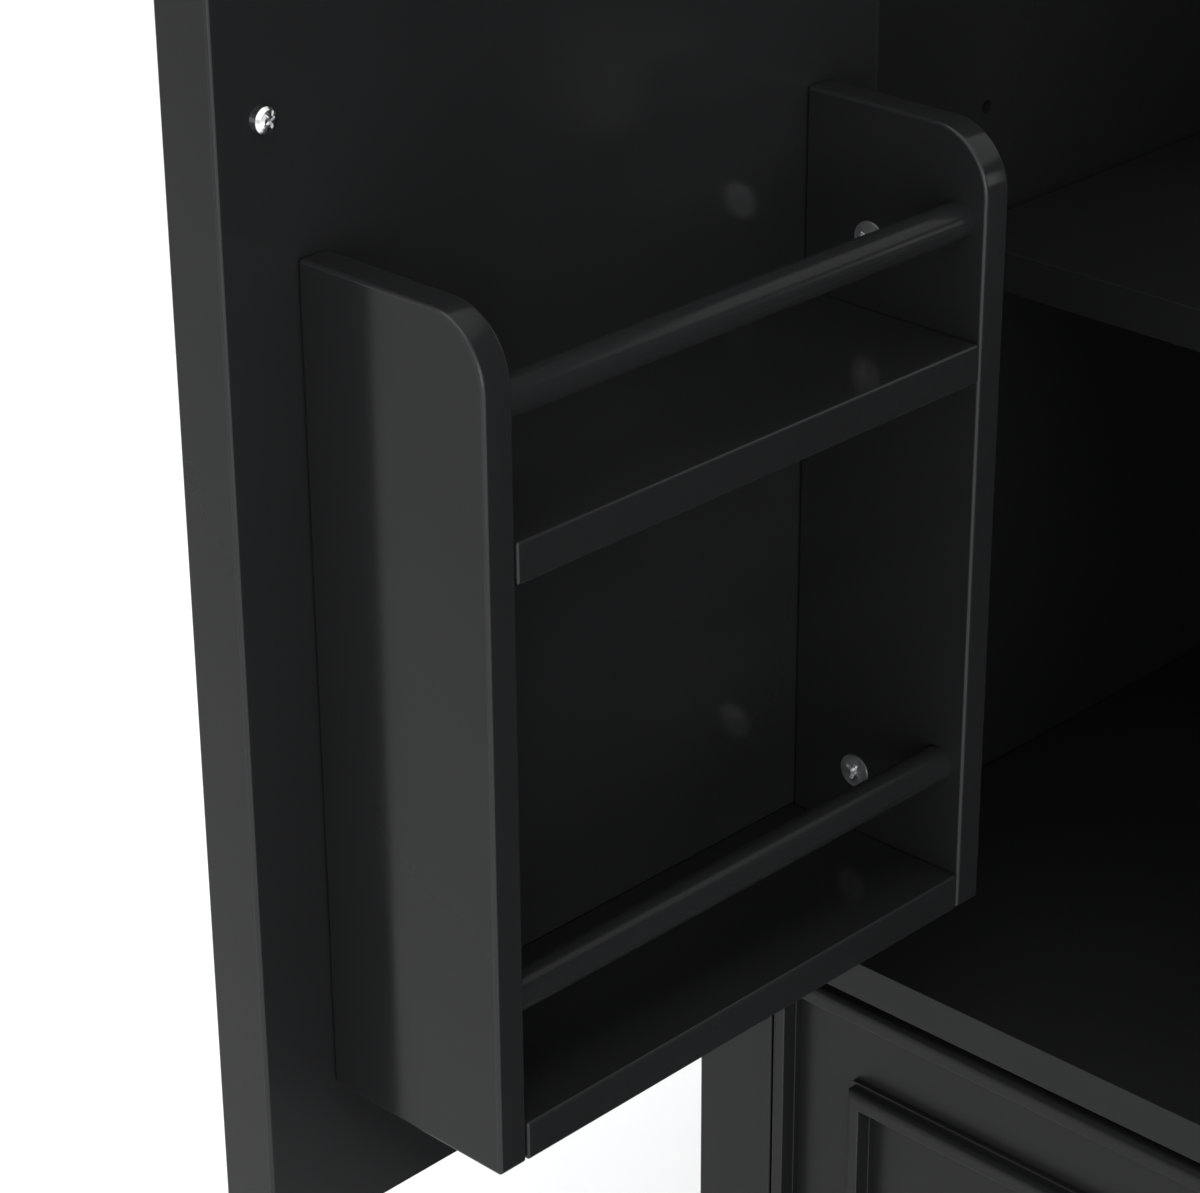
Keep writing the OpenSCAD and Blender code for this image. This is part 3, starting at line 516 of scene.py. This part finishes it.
def studio():
    """A white room with large soft lights in front, above, to the right and beside the camera,
    and three small ones inside the compartment. The fill isn't mirrored in the paint."""
    world = bpy.data.worlds.new("studio")
    world.use_nodes = True
    world.node_tree.nodes["Background"].inputs["Color"].default_value = (1, 1, 1, 1)
    world.node_tree.nodes["Background"].inputs["Strength"].default_value = 1.0
    bpy.context.scene.world = world
    middle = (0, 0, 0.45)
    soft_light("front right", (1.6, -2.6, 2.2), middle, (1.6, 1.6), 14.5)
    soft_light("above", (0, -0.6, 3.4), middle, (3.0, 3.0), 45)
    soft_light("beside the camera", (1.47, -1.93, 0.6), middle, (0.35, 1.0), 12)
    soft_light("right", (2.4, -0.9, 1.0), middle, (1.5, 1.5), 24)
    above = soft_light("inside above", (-0.05, 0.09, 0.785), (-0.05, 0.091, 0.3),
                       (0.28, 0.3), 0.25, NEUTRAL)
    behind = soft_light("inside behind", (0.16, 0.3, 0.66), (-0.2, -0.1, 0.64),
                        (0.1, 0.12), 0.08, NEUTRAL)
    fill = soft_light("inside fill", (0, 0.1, 0.784), (0, 0.101, 0.3), (0.5, 0.3), 0.5, NEUTRAL)
    fill.visible_glossy = False
    for lamp in (above, behind, fill):
        lamp.visible_camera = False
    bpy.context.scene.view_settings.view_transform = "Standard"


def camera():
    """The camera: in front and to the right, above the cart, turned left and down."""
    yaw, pitch, roll = math.radians(44.25), math.radians(25.70), math.radians(-0.42)
    forward = Vector((-math.sin(yaw) * math.cos(pitch), math.cos(yaw) * math.cos(pitch), -math.sin(pitch)))
    right = forward.cross(Vector((0, 0, 1))).normalized()
    up = right.cross(forward)
    tilted_right = right * math.cos(roll) + up * math.sin(roll)
    tilted_up = up * math.cos(roll) - right * math.sin(roll)
    lens = bpy.data.cameras.new("camera")
    lens.sensor_width = 36
    lens.lens = 106.6
    lens.clip_start = 0.05
    thing = bpy.data.objects.new("camera", lens)
    turn = Matrix((tilted_right, tilted_up, -forward)).transposed().to_4x4()
    thing.matrix_world = Matrix.Translation((0.4578, -0.9342, 0.9895)) @ turn
    bpy.context.scene.collection.objects.link(thing)
    bpy.context.scene.camera = thing


floor_and_backdrop()
studio()
camera()
